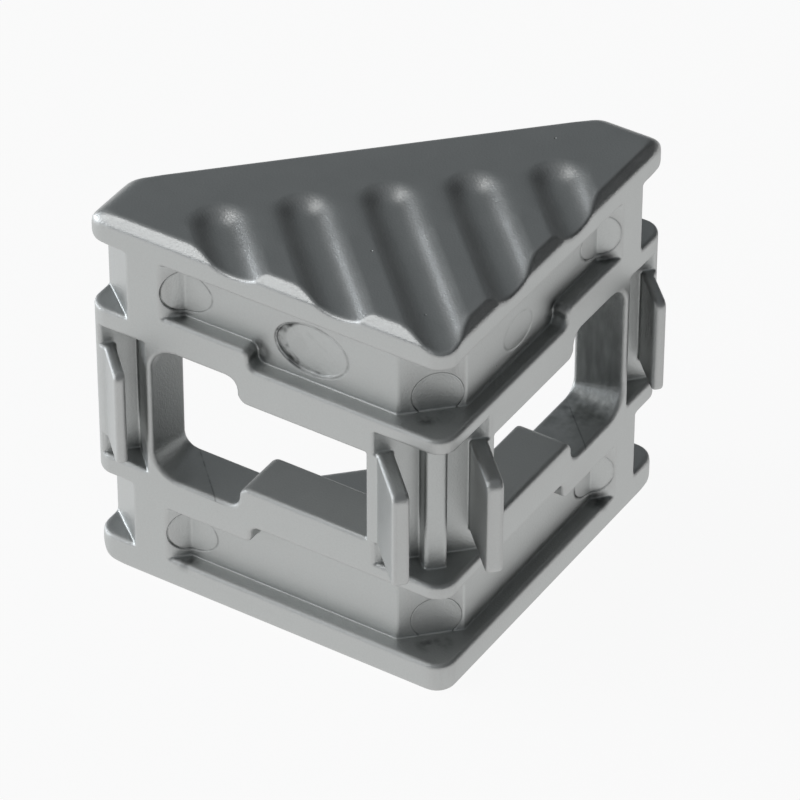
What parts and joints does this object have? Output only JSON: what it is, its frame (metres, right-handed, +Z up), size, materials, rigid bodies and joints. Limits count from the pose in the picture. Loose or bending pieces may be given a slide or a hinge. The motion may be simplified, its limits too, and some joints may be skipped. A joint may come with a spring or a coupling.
{
  "type": "profile angle bracket",
  "caption": "Die-cast angle bracket that joins slotted profiles at a right angle, with keyhole bolt windows, slot lugs and triangular side plates.",
  "frame": {"origin": "where the edge between the two mounting faces meets the lower plate's underside", "axes": "+Z up that edge, +X along one leg and +Y along the other"},
  "size_m": [0.0409, 0.0409, 0.038],
  "materials": {
    "bracket": "satin as cast"
  },
  "bodies": {
    "root": {"bracket": "bracket"}
  },
  "joints": []
}
